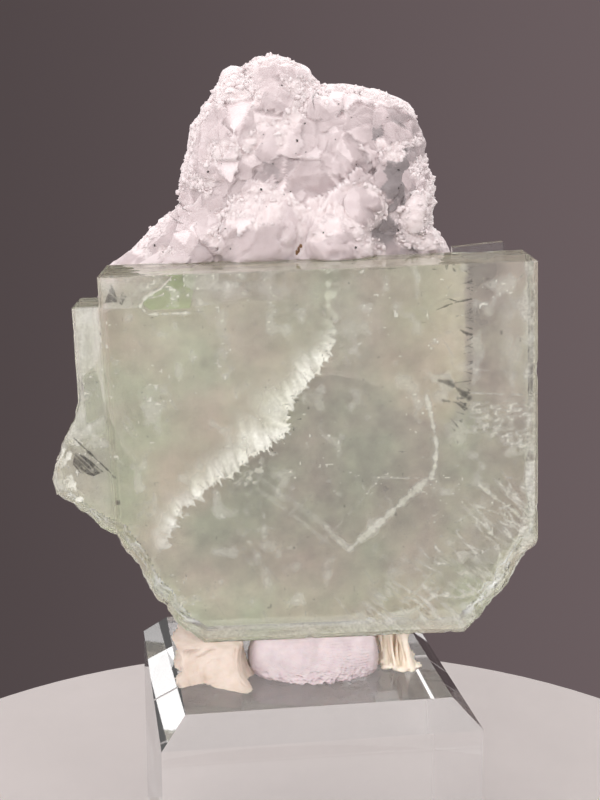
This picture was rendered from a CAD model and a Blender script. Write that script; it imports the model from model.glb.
"""The fluorite specimen on its clear base, dressed for a render at the photograph's viewing angle."""

import itertools
import math

import bmesh
import bpy
import numpy as np
from mathutils import Matrix, Vector
from mathutils.bvhtree import BVHTree
from mathutils.kdtree import KDTree


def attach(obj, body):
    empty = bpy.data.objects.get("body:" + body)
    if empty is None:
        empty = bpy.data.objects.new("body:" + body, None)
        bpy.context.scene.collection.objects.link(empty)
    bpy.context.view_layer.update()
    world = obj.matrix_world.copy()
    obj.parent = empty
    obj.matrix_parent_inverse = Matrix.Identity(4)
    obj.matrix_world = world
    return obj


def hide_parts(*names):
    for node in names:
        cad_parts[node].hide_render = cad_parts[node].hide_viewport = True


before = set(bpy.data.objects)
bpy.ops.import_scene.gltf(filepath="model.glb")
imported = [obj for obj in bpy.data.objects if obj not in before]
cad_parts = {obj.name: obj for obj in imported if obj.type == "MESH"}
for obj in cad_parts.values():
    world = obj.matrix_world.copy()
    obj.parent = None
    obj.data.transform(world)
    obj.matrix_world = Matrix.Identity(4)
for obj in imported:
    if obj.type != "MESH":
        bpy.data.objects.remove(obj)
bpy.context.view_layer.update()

MM = 0.001
SEED = 23
CRYSTAL_SEED = 31
COLUMN_SEED = 47

# The specimen's own frame, the same as the solids', in millimetres:
# x along the width, y into the depth, z up.
SPECIMEN_PLACE = (5.0, -6.2, 34.6)
SPECIMEN_TURN = -7.7
SPECIMEN_LEAN = -2.0
SPECIMEN = (
    Matrix.Translation(Vector(SPECIMEN_PLACE) * MM)
    @ Matrix.Rotation(math.radians(SPECIMEN_TURN), 4, "Z")
    @ Matrix.Rotation(math.radians(SPECIMEN_LEAN), 4, "Y")
)
DEPTH = 12.0
TOP = 48.4
LEFT = -29.3
RIGHT = 25.3
COLUMN_FRONT = 1.6
COLUMN_BACK = 10.9
BASE_TOP = 30.0
# The gap that keeps the crust clear of the fluorite.
CONTACT_GAP = 0.04

# The floor, in metres.
FLOOR_RADIUS = 0.075
FLOOR_GAP = 0.0002

# The camera, and the directions to the wall that it looks at and to the bright side of the room.
CAMERA_PLACE = (-0.029146, -0.186114, 0.107128)
CAMERA_DOWN = 12.564
CAMERA_TURN = -8.9
CAMERA_LENS = 66.96
LOOKING = (0.151, 0.964, -0.217)
BRIGHT_SIDE = (-0.42, -0.60, 0.68)
LIGHTS_MEET = (0.0, 0.0, 0.06)

RIGHT_BREAK = [(15.6, 0.0), (17.0, 1.6), (18.7, 4.2), (20.0, 5.5), (21.0, 6.5), (22.4, 8.2), (24.1, 10.0)]
LEFT_BREAK = [
    (-29.1, 15.4), (-28.2, 14.4), (-27.5, 13.2), (-26.0, 11.0), (-25.0, 8.8), (-23.8, 6.5),
    (-22.7, 5.3), (-21.4, 3.0), (-20.1, 1.4), (-18.3, 0.0),
]
CRYSTAL = RIGHT_BREAK + [(RIGHT, 11.6), (RIGHT, TOP), (LEFT, TOP)] + LEFT_BREAK
COLUMN_BREAK = [
    (-33.8, 29.9), (-35.4, 27.2), (-36.8, 24.2), (-37.3, 22.2), (-36.8, 20.0), (-34.0, 18.0), (-31.0, 15.9),
    (-28.0, 14.6),
]
COLUMN = [(-26.0, 16.0), (-26.0, 44.4), (-32.9, 44.4), (-32.9, 32.4)] + COLUMN_BREAK
BROKEN = set(RIGHT_BREAK[1:] + LEFT_BREAK[:-1] + COLUMN_BREAK + [(RIGHT, 11.6)])
# The thin plate at the back of the top face.
PLATE = [(15.9, 47.6), (22.9, 47.6), (22.6, 49.7), (15.9, 49.2)]
PLATE_FRONT = 10.4
PLATE_BACK = 11.8

CRUST_OUTLINE = [
    (-27.0, 48.0), (-25.4, 49.2), (-22.9, 51.0), (-20.6, 53.2), (-19.2, 55.2), (-18.8, 58.0), (-17.9, 61.5),
    (-16.6, 65.0), (-15.2, 67.6), (-13.6, 70.2), (-12.0, 72.3), (-9.8, 71.9), (-7.4, 73.9), (-5.2, 74.0),
    (-2.6, 71.9), (-0.3, 70.0), (3.2, 69.9), (8.0, 68.5), (10.9, 67.2), (12.2, 63.6), (13.0, 59.6),
    (13.9, 56.4), (13.8, 54.0), (13.3, 51.6), (14.9, 49.2), (15.9, 46.0), (15.9, 38.0), (14.6, 31.6),
    (9.0, 31.4), (2.0, 34.0), (-3.3, 33.4), (-6.6, 30.4), (-9.8, 26.4), (-12.9, 22.8), (-16.3, 19.8),
    (-20.4, 17.4), (-25.0, 19.4), (-28.4, 25.0), (-30.6, 33.0), (-30.9, 42.0), (-29.4, 46.4),
]
CRUST_CENTRE = (-6.0, 50.0)
# The crust's middle depth, and how far it reaches ahead of it and behind it.
CRUST_MIDDLE = 16.5
CRUST_AHEAD = 5.5
CRUST_BEHIND = 9.5
CRUST_ROUNDNESS = 0.72
# Mounds low on the crust's front: middle, half sizes and how far each comes forward.
MOUNDS = [
    ((-8.8, 51.2), (5.4, 5.6), 2.0),
    ((1.6, 50.2), (4.4, 4.6), 1.7),
    ((4.6, 54.6), (2.7, 2.9), 1.1),
    ((12.4, 52.6), (3.0, 4.4), 1.2),
]

# The bright feathered boundary inside the crystal, from the top down to the lower left.
FEATHER = [
    (0.4, 48.3), (0.6, 43.4), (0.0, 39.0), (-0.6, 36.9), (-1.6, 35.5), (-3.1, 33.5), (-4.9, 31.5),
    (-6.5, 29.3), (-6.4, 26.9), (-9.4, 25.0), (-13.8, 22.2), (-16.9, 20.2), (-19.8, 18.2), (-21.7, 16.2),
    (-22.8, 13.6),
]
# The straight right edge of the cream growth zone.
ZONE_EDGE = [(17.3, 48.2), (17.0, 43.1), (17.1, 35.6), (16.7, 32.0), (15.6, 27.9), (13.6, 25.6)]
# The foot of the clearer band under the top edge.
BAND_FOOT = 44.0
# Pale lines inside: points, half width and strength of each.
PHANTOMS = [
    ([(11.4, 31.4), (12.1, 27.8), (12.6, 25.0), (12.4, 22.4), (11.8, 20.6)], 0.24, 0.70),
    ([(11.1, 20.2), (9.2, 18.5), (7.4, 16.9), (4.9, 14.7), (2.6, 12.7), (0.9, 11.2)], 0.38, 0.72),
    ([(0.9, 11.4), (-0.8, 13.0), (-2.2, 14.8)], 0.30, 0.45),
    ([(-2.2, 14.8), (-4.6, 16.8), (-7.2, 18.8), (-10.4, 21.6)], 0.34, 0.16),
    ([(4.4, 20.9), (7.2, 20.7), (10.2, 20.6)], 0.16, 0.32),
    ([(1.4, 21.9), (5.0, 17.2), (8.8, 12.3), (11.0, 9.4)], 0.06, 0.50),
    ([(-11.6, 30.2), (-9.0, 27.8)], 0.08, 0.32),
    ([(-10.8, 20.0), (-5.4, 15.6), (-1.0, 11.5)], 0.22, 0.20),
    ([(-3.0, 12.0), (2.6, 17.8), (6.0, 21.8)], 0.14, 0.16),
    ([(-7.0, 16.0), (-3.4, 19.2)], 0.12, 0.20),
    ([(18.0, 19.4), (20.4, 17.4), (23.3, 14.7), (25.0, 14.1)], 0.14, 0.75),
    ([(14.6, 14.2), (18.2, 16.4), (20.8, 15.2), (22.6, 15.6)], 0.10, 0.45),
    ([(16.2, 11.3), (18.6, 10.2), (21.0, 11.4), (23.4, 10.6)], 0.10, 0.50),
    ([(6.0, 1.9), (9.4, 2.6), (11.8, 4.4), (14.6, 4.2), (18.3, 4.8), (20.6, 7.4), (22.6, 9.6), (24.4, 10.8)],
     0.22, 0.75),
    ([(20.4, 11.2), (20.8, 7.6)], 0.08, 0.55),
    ([(9.0, 4.4), (12.4, 8.2), (12.2, 11.6)], 0.12, 0.30),
    ([(16.8, 31.6), (20.4, 31.3), (24.8, 31.0)], 0.12, 0.40),
    ([(17.4, 34.6), (21.8, 34.2)], 0.07, 0.35),
]
# Dark cracks that run into the cream zone from its right edge.
BIG_TEETH = [
    ([(17.1, 43.7), (15.6, 43.4), (14.4, 43.1), (12.8, 42.5)], 0.10, 0.8),
    ([(15.6, 43.4), (14.2, 43.9), (13.6, 43.6)], 0.07, 0.7),
    ([(17.1, 39.2), (16.4, 39.4), (15.8, 39.8)], 0.12, 0.8),
    ([(16.7, 31.0), (15.2, 32.3), (14.2, 33.1), (12.9, 33.4)], 0.26, 0.8),
    ([(16.4, 29.6), (15.2, 30.4), (13.4, 30.8)], 0.12, 0.7),
]
# Fine scratches on the front face.
SCRATCHES = [
    ([(-10.4, 33.2), (-6.8, 30.0)], 0.05, 0.35),
    ([(2.6, 21.0), (7.2, 15.6)], 0.05, 0.45),
    ([(8.6, 13.8), (12.0, 8.8)], 0.05, 0.35),
    ([(-19.0, 23.5), (-16.4, 26.8)], 0.07, 0.25),
    ([(-22.0, 37.4), (-14.6, 41.6)], 0.06, 0.12),
]
# Small dark spots: five pits at the top edge, the dark corner triangles and the dark chip at the left.
DARK_SPOTS = [
    [(17.0, 48.6), (17.9, 49.0), (18.4, 48.5), (17.8, 47.9)],
    [(18.5, 48.6), (19.2, 48.8), (19.5, 48.2), (18.8, 47.9)],
    [(20.3, 48.5), (20.7, 48.8), (20.9, 48.3), (20.5, 48.0)],
    [(21.3, 48.6), (21.9, 49.0), (22.4, 48.5), (21.8, 48.0)],
    [(23.1, 48.7), (23.5, 48.9), (23.6, 48.3), (23.2, 48.0)],
    [(-28.9, 44.9), (-27.7, 47.6), (-26.9, 44.9)],
    [(-27.1, 45.0), (-26.5, 46.4), (-25.9, 45.7), (-26.6, 44.4)],
    [(-34.3, 24.2), (-33.8, 25.9), (-32.2, 25.0), (-30.2, 23.0), (-31.6, 22.4), (-33.4, 22.9)],
]
DARK_LINES = [
    ([(-33.8, 27.6), (-31.4, 25.0), (-28.9, 22.3)], 0.13, 0.9),
    ([(-24.6, 43.9), (-20.4, 43.5), (-15.0, 43.3)], 0.05, 0.3),
    ([(4.4, 48.0), (8.6, 48.0)], 0.12, 0.5),
    ([(13.6, 48.4), (14.1, 47.6), (14.7, 48.2), (15.1, 47.4)], 0.10, 0.5),
]
# Bright chips at the broken right and left edges: x, z and size.
RIGHT_CHIPS = [(24.2, 14.6, 1.1), (24.6, 12.3, 1.3), (23.4, 9.4, 1.0), (21.6, 6.2, 1.0), (19.2, 4.6, 0.8)]
LEFT_CHIPS = [
    (-34.4, 26.9, 0.7), (-33.2, 26.6, 0.5), (-35.6, 24.2, 0.8), (-36.2, 21.8, 0.6), (-34.6, 21.4, 0.8),
    (-33.6, 19.4, 0.5), (-31.4, 27.4, 0.4), (-34.8, 25.2, 0.5),
]
# Clear, lilac and rough patches inside the crystal. The green one has a white curved rim.
PATCH_RIM = [(-18.2, 43.2), (-23.4, 43.2), (-24.4, 44.2), (-23.6, 45.4), (-21.7, 46.4), (-20.1, 48.1)]
PATCH = PATCH_RIM + [(-17.2, 48.2), (-17.6, 45.6)]
PATCH_LINES = [(PATCH_RIM, 0.15, 0.8), ([(-23.2, 45.2), (-21.6, 45.6), (-20.2, 45.0)], 0.10, 0.6)]
COLUMN_PATCH = [(-32.8, 35.4), (-29.8, 38.0), (-29.4, 30.2), (-32.4, 28.6)]
COLUMN_FOOT_PATCH = [(-30.6, 27.9), (-29.2, 30.2), (-27.2, 29.6), (-26.8, 26.6), (-29.4, 25.8)]
LILAC_PATCH = [(-19.0, 48.2), (-18.9, 46.8), (-17.9, 46.0), (-15.6, 46.0), (-14.3, 47.2), (-14.2, 48.2)]
ETCHED_PATCH = [(16.2, 31.4), (25.0, 31.2), (24.8, 24.0), (22.6, 22.6), (19.4, 25.6), (16.0, 26.2)]
RIGHT_BEVEL = [(23.4, 22.6), (25.2, 22.9), (25.2, 15.2), (24.2, 16.0)]
LOW_WISP = [(-8.9, 23.9), (-10.5, 22.4), (-12.6, 20.0)]

# Rough white frosting on the crust: centre lines and half widths.
FROST = [
    ([(-14.8, 51.2), (-13.9, 53.5), (-12.4, 55.2), (-10.8, 56.6), (-8.9, 57.3), (-7.0, 56.7), (-5.1, 56.0),
      (-4.1, 54.7), (-3.7, 52.8), (-3.7, 51.3), (-4.4, 49.8)], 0.9),
    ([(-12.2, 54.2), (-10.4, 55.2), (-8.9, 55.9), (-7.1, 55.4), (-7.8, 53.9), (-10.9, 53.4)], 1.2),
    ([(-1.8, 55.6), (-0.7, 55.3), (0.8, 54.3), (2.4, 52.9), (3.6, 51.6), (4.2, 50.0), (6.1, 49.0)], 0.9),
    ([(-2.1, 54.0), (-0.8, 53.0), (0.4, 52.1), (-1.2, 51.2)], 1.1),
    ([(2.3, 57.2), (3.2, 57.5), (4.8, 57.1), (6.4, 56.1), (7.0, 54.8), (6.6, 53.5), (5.0, 53.0)], 0.8),
    ([(9.8, 50.5), (11.4, 51.1), (13.3, 50.4), (14.9, 49.4), (14.0, 52.0), (12.7, 53.3)], 1.5),
    ([(9.2, 53.4), (9.8, 52.5), (11.8, 55.3), (14.0, 55.8), (14.7, 56.7), (13.4, 57.1)], 1.2),
    ([(11.3, 59.6), (11.6, 58.4), (12.9, 60.2)], 1.0),
    ([(6.9, 62.5), (7.3, 62.4)], 0.5),
    ([(8.5, 61.9), (11.4, 62.6)], 0.45),
    ([(6.8, 61.0), (9.4, 61.0)], 0.5),
    ([(-14.4, 61.4), (-14.1, 62.5), (-12.8, 63.1), (-11.2, 62.7), (-10.1, 62.0)], 0.8),
    ([(-9.3, 63.6), (-9.9, 63.3)], 0.8),
    ([(-7.9, 65.8), (-6.7, 65.5), (-5.7, 65.3)], 0.8),
    ([(-5.8, 62.8), (-5.6, 64.3), (-4.4, 66.2), (-3.4, 67.4), (-3.4, 69.2), (-4.6, 70.2), (-2.7, 70.3),
      (-1.1, 69.8), (-0.2, 68.5)], 0.9),
    ([(-12.7, 72.4), (-11.4, 72.6), (-10.2, 71.8), (-11.5, 70.8), (-12.5, 69.2), (-10.3, 69.8),
      (-9.1, 68.8), (-9.9, 71.0)], 1.4),
    ([(-7.6, 73.0), (-6.3, 73.4), (-5.0, 73.2), (-3.5, 72.6)], 0.9),
    ([(-1.9, 71.9), (-0.1, 70.5), (2.1, 69.8), (4.4, 69.0), (6.9, 68.2), (8.8, 67.8), (10.7, 66.9),
      (11.6, 65.4)], 0.9),
    ([(-13.8, 71.2), (-14.7, 69.2), (-15.9, 67.0), (-16.6, 64.5), (-17.6, 62.5), (-18.3, 60.4),
      (-19.0, 57.9), (-19.6, 55.7), (-20.8, 53.8), (-22.4, 52.0), (-24.6, 50.4), (-26.4, 49.2)], 0.9),
    ([(-15.8, 57.6), (-15.2, 58.2), (-17.4, 58.9)], 0.9),
    ([(-26.7, 49.1), (-25.1, 49.2), (-23.7, 49.0)], 0.6),
    ([(-21.6, 49.3), (-20.7, 49.4)], 0.5),
]
# Bright flat crystal faces on the crust: the two upper corners and then the lower tip of each.
BRIGHT_FACES = [
    ((-12.9, 68.4), (-8.7, 68.8), (-11.8, 64.6)),
    ((-14.1, 61.3), (-11.3, 61.2), (-12.5, 58.7)),
    ((-6.9, 57.4), (-5.3, 59.6), (-5.8, 56.9)),
    ((-11.9, 53.8), (-9.3, 54.0), (-11.5, 51.7)),
    ((1.2, 66.0), (2.1, 67.2), (2.7, 65.6)),
]
GREY_HOLLOW = ((6.6, 51.4), (2.0, 1.9))
SPECKS = [
    (-15.5, 60.0), (-3.8, 63.6), (3.8, 60.2), (6.8, 63.7), (-8.7, 57.6), (-4.9, 57.1), (-2.7, 65.7),
    (-10.5, 72.0), (-5.5, 70.6), (9.0, 51.6), (3.2, 49.9), (-23.0, 50.6), (-21.9, 49.8), (-0.9, 51.9),
    (-8.1, 64.5), (1.2, 63.5),
]
BROWN_SPECKS = [(-4.1, 49.7), (-3.8, 50.1), (-4.3, 49.3)]
BROWN_SIZE = 0.22
FRONT_GRAINS = 1300
OTHER_GRAINS = 900
EXTRA_SPECKS = 26

# The tack, seen from above: where each lump stands on the base and where it meets the fluorite.
TACK_LEFT_FOOT = [
    (-9.0, -11.1), (-8.2, -9.6), (-8.4, -7.0), (-8.3, -1.0), (-8.8, 5.0), (-11.0, 8.0), (-14.5, 7.2),
    (-16.1, 2.0), (-15.8, -3.5), (-16.4, -8.3), (-14.6, -7.6), (-13.2, -7.0), (-11.6, -9.0), (-10.4, -10.0),
]
TACK_LEFT_HEAD = [
    (-9.6, -6.4), (-8.9, 0.0), (-9.3, 4.5), (-11.5, 6.6), (-14.5, 6.2), (-16.4, 2.5), (-16.7, -1.2),
    (-16.0, -4.4), (-12.8, -5.8),
]
TACK_MIDDLE_FOOT = [
    (-7.2, -6.4), (-5.6, -8.4), (-3.0, -9.8), (1.2, -10.7), (5.6, -10.1), (8.4, -8.6), (9.6, -6.6),
    (9.2, -1.5), (7.6, 3.0), (1.5, 4.6), (-4.8, 3.2), (-7.2, -1.0),
]
TACK_MIDDLE_HEAD = [
    (-6.4, -5.4), (-3.0, -6.2), (1.4, -6.6), (5.6, -7.0), (8.6, -6.8), (9.0, -5.6), (8.0, -1.5), (6.6, 2.4),
    (1.5, 3.6), (-4.4, 2.4), (-6.4, -1.4),
]
TACK_LEVELS = 64
TACK_SIDES = 420
STRANDS = 16
STRAND_LEVELS = 22
STRAND_SIDES = 8
TORN_LUMPS = 34

# A cloud thinner than this is left out of its sheet. The sheets' grids have one of three pitches.
LEAST_VEIL = 0.012
COARSE_PITCH = 0.3
PITCH = 0.15
FINE_PITCH = 0.09


def colour(r, g, b):
    """A scene-linear colour from 0 to 255 display values."""
    return tuple(c / 12.92 / 255 if c < 10.3 else ((c / 255 + 0.055) / 1.055) ** 2.4 for c in (r, g, b))


PINK = colour(243, 228, 215)
MOSS = colour(230, 234, 212)
WHITE = colour(252, 250, 243)
PALE = colour(240, 238, 226)
WALL_LEFT = colour(76, 67, 68)
WALL_RIGHT = colour(110, 97, 99)
ROOM_DIM = (0.66, 0.646, 0.637)
ROOM_BRIGHT = (1.42, 1.395, 1.385)


def lattice(ix, iy, iz, seed):
    """A fixed random number from 0 to 1 for each whole-numbered point."""
    h = (ix * 374761393 + iy * 668265263 + iz * 1440662683 + seed * 974634777) & 0xFFFFFFFF
    h = ((h ^ (h >> 13)) * 1274126177) & 0xFFFFFFFF
    h = ((h ^ (h >> 15)) * 2246822519) & 0xFFFFFFFF
    return (h ^ (h >> 16)) / 0xFFFFFFFF


def value_noise(points, seed=0):
    """Smooth noise from -1 to 1 at each row of points."""
    low = np.floor(points).astype(np.int64)
    part = points - low
    part = part * part * (3 - 2 * part)
    share = (1 - part, part)
    total = np.zeros(len(points))
    for dx, dy, dz in itertools.product((0, 1), repeat=3):
        weight = share[dx][:, 0] * share[dy][:, 1] * share[dz][:, 2]
        total += weight * lattice(low[:, 0] + dx, low[:, 1] + dy, low[:, 2] + dz, seed)
    return total * 2 - 1


def fractal(points, octaves=4, seed=0):
    """Noise with finer and weaker noise added, octave by octave."""
    total = np.zeros(len(points))
    weight = 1.0
    scale = 1.0
    for octave in range(octaves):
        total += value_noise(points * scale + 17.3 * octave, seed + octave) * weight
        weight *= 0.5
        scale *= 2.03
    return total


def smooth(low, high, value):
    """0 at low, 1 at high, and a smooth step between."""
    t = np.clip((value - low) / (high - low), 0, 1)
    return t * t * (3 - 2 * t)


def columns(*parts):
    """Coordinates side by side, one point a row. A plain number counts for every point."""
    return np.stack(np.broadcast_arrays(*parts), 1)


def blob(x, z, middle, spread):
    """A soft round spot, 1 in its middle."""
    return np.exp(-(((x - middle[0]) / spread[0]) ** 2 + ((z - middle[1]) / spread[1]) ** 2))


def between(rings):
    """Quads between neighbouring rings of point numbers, one ring a row."""
    beside = np.roll(rings, -1, 1)
    return np.stack([rings[:-1], beside[:-1], beside[1:], rings[1:]], 2).reshape(-1, 4)


def tube(levels, sides):
    """The faces of a closed tube made of this many rings of points."""
    rings = np.arange(levels * sides).reshape(levels, sides)
    return between(rings).tolist() + [rings[0, ::-1].tolist(), rings[-1].tolist()]


def line_distance(x, z, line):
    """For each point: its distance to a broken line, which side it is on, and how far along it lies."""
    best = np.full(len(x), 1e9)
    side = np.zeros(len(x))
    along = np.zeros(len(x))
    run = 0.0
    for (ax, az), (bx, bz) in zip(line, line[1:]):
        ux, uz = bx - ax, bz - az
        length = math.hypot(ux, uz)
        t = np.clip(((x - ax) * ux + (z - az) * uz) / length ** 2, 0, 1)
        distance = np.hypot(x - ax - t * ux, z - az - t * uz)
        nearer = distance < best
        best = np.where(nearer, distance, best)
        side = np.where(nearer, np.sign(ux * (z - az) - uz * (x - ax)), side)
        along = np.where(nearer, run + t * length, along)
        run += length
    return best, side, along


def inside_outline(x, z, outline):
    """A mask of the points inside a closed outline, and each point's distance to it."""
    inside = np.zeros(len(x), bool)
    closed = list(outline) + [outline[0]]
    for (ax, az), (bx, bz) in zip(closed, closed[1:]):
        if az != bz:
            crosses = (az > z) != (bz > z)
            inside ^= crosses & (x < (bx - ax) * (z - az) / (bz - az) + ax)
    return inside, line_distance(x, z, closed)[0]


def inside_soft(x, z, outline, edge):
    """1 inside an outline, falling to 0 at its edge."""
    inside, off = inside_outline(x, z, outline)
    return np.where(inside, smooth(0.0, edge, off), 0.0)


def placed(name, data):
    """A new object in the scene with this mesh, light or camera."""
    obj = bpy.data.objects.new(name, data)
    bpy.context.scene.collection.objects.link(obj)
    return obj


def new_object(name, points, faces, local=True):
    """A mesh object from points in millimetres, which lie in the specimen's frame where local is true."""
    points = np.asarray(points, float) * MM
    if local:
        matrix = np.array(SPECIMEN)
        points = points @ matrix[:3, :3].T + matrix[:3, 3]
    mesh = bpy.data.meshes.new(name)
    mesh.from_pydata(points.tolist(), [], [tuple(int(i) for i in f) for f in faces])
    return placed(name, mesh)


def mesh_piece(name, points, faces, material, slot, local=True, **attributes):
    """A smooth object that rides on the part's one body, with these values kept at its points."""
    obj = new_object(name, points, faces, local)
    mesh = obj.data
    mesh.validate()
    mesh.polygons.foreach_set("use_smooth", np.full(len(mesh.polygons), True))
    for key, values in attributes.items():
        layer = mesh.attributes.new(key, "FLOAT", "POINT")
        layer.data.foreach_set("value", np.asarray(values, np.float32))
    mesh.materials.append(material)
    mesh.update()
    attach(obj, "root")
    return obj


def ball(subdivisions, finer=None):
    """Points and triangles of a unit ball, with smaller triangles where finer says so."""
    maker = bmesh.new()
    bmesh.ops.create_icosphere(maker, subdivisions=subdivisions, radius=1.0)
    if finer:
        chosen = [e for e in maker.edges if all(finer(v.co) for v in e.verts)]
        bmesh.ops.subdivide_edges(maker, edges=chosen, cuts=1, use_grid_fill=True)
        bmesh.ops.triangulate(maker, faces=maker.faces)
    maker.verts.index_update()
    points = np.array([v.co[:] for v in maker.verts])
    faces = np.array([[v.index for v in f.verts] for f in maker.faces])
    maker.free()
    return points, faces


class Nodes:
    """A short way to write a material's nodes."""

    def __init__(self, name):
        self.material = bpy.data.materials.new(name)
        self.material.use_nodes = True
        self.tree = self.material.node_tree
        self.shader = self.tree.nodes["Principled BSDF"]
        self.output = self.tree.nodes["Material Output"]

    def add(self, kind, **values):
        """A node with these settings, or these values at its inputs."""
        node = self.tree.nodes.new(kind)
        for key, value in values.items():
            if hasattr(node, key):
                setattr(node, key, value)
            else:
                node.inputs[key.replace("_", " ")].default_value = value
        return node

    def link(self, source, target):
        self.tree.links.new(source, target)

    def set(self, **values):
        """Plain values at the shader's own inputs."""
        for key, value in values.items():
            self.shader.inputs[key.replace("_", " ")].default_value = value

    def noise(self, scale, detail=4.0, roughness=0.55):
        node = self.add("ShaderNodeTexNoise", Scale=scale, Detail=detail, Roughness=roughness)
        self.link(self.add("ShaderNodeTexCoord").outputs["Object"], node.inputs["Vector"])
        return node.outputs["Fac"]

    def attribute(self, name):
        return self.add("ShaderNodeAttribute", attribute_name=name).outputs["Fac"]

    def math(self, operation, a, b, clamp=False):
        node = self.add("ShaderNodeMath", operation=operation, use_clamp=clamp)
        for i, value in enumerate((a, b)):
            if isinstance(value, (int, float)):
                node.inputs[i].default_value = value
            else:
                self.link(value, node.inputs[i])
        return node.outputs[0]

    def ramp(self, source, *stops):
        """A colour ramp from (position, colour) stops."""
        node = self.add("ShaderNodeValToRGB")
        elements = node.color_ramp.elements
        while len(elements) < len(stops):
            elements.new(0.5)
        for element, (position, value) in zip(elements, stops):
            element.position = position
            element.color = (*value, 1.0)
        self.link(source, node.inputs["Fac"])
        return node.outputs["Color"]

    def levels(self, source, low, high, to_low, to_high):
        node = self.add("ShaderNodeMapRange", From_Min=low, From_Max=high, To_Min=to_low, To_Max=to_high)
        self.link(source, node.inputs["Value"])
        return node.outputs["Result"]

    def bump(self, height, strength, distance):
        node = self.add("ShaderNodeBump", Strength=strength, Distance=distance)
        self.link(height, node.inputs["Height"])
        self.link(node.outputs["Normal"], self.shader.inputs["Normal"])


def clear_material(name, ior, roughness, tint, density, grain, relief):
    """A clear solid that takes colour with depth."""
    n = Nodes(name)
    n.set(Base_Color=(1, 1, 1, 1), Transmission_Weight=1.0, IOR=ior, Roughness=roughness)
    n.bump(n.noise(grain, 3.0), relief, 0.0001)
    volume = n.add("ShaderNodeVolumeAbsorption", Color=(*tint, 1.0), Density=density)
    n.link(volume.outputs["Volume"], n.output.inputs["Volume"])
    return n.material


def veil_material(name, pale, deep, patches, grain_scale, grain_low, **shader):
    """A cloud inside the crystal. The piece's veil attribute and a fine grain say how much it hides."""
    n = Nodes(name)
    n.link(n.ramp(n.noise(patches, 3.0), (0.36, deep), (0.64, pale)), n.shader.inputs["Base Color"])
    n.set(Roughness=0.8, IOR=1.434, Specular_IOR_Level=0.1)
    n.set(**shader)
    grain = n.levels(n.noise(grain_scale, 4.0, 0.65), 0.35, 0.65, grain_low, 1.0)
    n.link(n.math("MULTIPLY", n.attribute("veil"), grain, True), n.shader.inputs["Alpha"])
    return n.material


def crust_material():
    """Milky crystals whose shade and frosting come from the piece's attributes."""
    n = Nodes("milky crystals")
    frost = n.attribute("frost")
    tone = n.math("ADD", n.attribute("tone"), n.math("MULTIPLY", n.noise(420.0, 4.0), 0.12))
    milky = n.ramp(
        tone, (0.0, colour(132, 122, 123)), (0.3, colour(176, 161, 162)), (0.6, colour(198, 183, 184)),
        (1.0, colour(228, 215, 216)),
    )
    mix = n.add("ShaderNodeMix", data_type="RGBA")
    n.link(frost, mix.inputs["Factor"])
    n.link(milky, mix.inputs[6])
    mix.inputs[7].default_value = (*colour(222, 209, 209), 1)
    n.link(mix.outputs[2], n.shader.inputs["Base Color"])
    n.set(IOR=1.54, Subsurface_Weight=0.7, Subsurface_Scale=0.0016, Subsurface_Radius=(1.0, 1.0, 1.0))
    n.link(n.levels(frost, 0.0, 1.0, 0.36, 0.8), n.shader.inputs["Roughness"])
    n.bump(n.noise(2600.0, 4.0, 0.7), 0.2, 0.0001)
    return n.material


def frost_material():
    """Rough white grains."""
    n = Nodes("white frosting")
    shade = n.ramp(n.noise(900.0, 4.0), (0.3, colour(214, 201, 202)), (0.7, colour(232, 221, 221)))
    n.link(shade, n.shader.inputs["Base Color"])
    n.set(Roughness=0.8)
    n.bump(n.noise(4200.0, 4.0, 0.75), 0.5, 0.0001)
    return n.material


def tack_material(name, pale, deep):
    """Dull putty with a fine grain."""
    n = Nodes(name)
    n.link(n.ramp(n.noise(700.0, 5.0), (0.3, deep), (0.7, pale)), n.shader.inputs["Base Color"])
    n.set(Roughness=0.62, Subsurface_Weight=0.15, Subsurface_Scale=0.0005)
    n.bump(n.noise(3200.0, 5.0, 0.7), 0.35, 0.00012)
    return n.material


def plain_material(name, value):
    """A plain matt colour."""
    n = Nodes(name)
    shade = n.ramp(n.noise(60.0, 3.0), (0.3, tuple(c * 0.95 for c in value)), (0.7, value))
    n.link(shade, n.shader.inputs["Base Color"])
    n.set(Roughness=0.6)
    return n.material


def sampled_outline(outline, spacing):
    """Points along a closed outline, corners kept, their outward normals, and 1 where it is broken."""
    points = []
    flags = []
    closed = list(outline) + [outline[0]]
    for (ax, az), (bx, bz) in zip(closed, closed[1:]):
        steps = max(1, round(math.hypot(bx - ax, bz - az) / spacing))
        rough = (ax, az) in BROKEN and (bx, bz) in BROKEN
        for i in range(steps):
            points.append((ax + (bx - ax) * i / steps, az + (bz - az) * i / steps))
            flags.append(1.0 if rough else 0.0)
    points = np.array(points)
    flags = np.array(flags)
    tangent = np.roll(points, -1, 0) - np.roll(points, 1, 0)
    tangent /= np.linalg.norm(tangent, axis=1)[:, None]
    for _ in range(3):
        flags = (np.roll(flags, 1) + flags + np.roll(flags, -1)) / 3
    return points, columns(tangent[:, 1], -tangent[:, 0]), flags


def near_lower_right(x, z):
    """The etched and fractured region at the lower right of the front face."""
    return smooth(-1.0, 5.0, (x - 1.0) * 0.62 + (14.0 - z) * 0.78) * smooth(14.0, 20.0, x + (18 - z))


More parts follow.
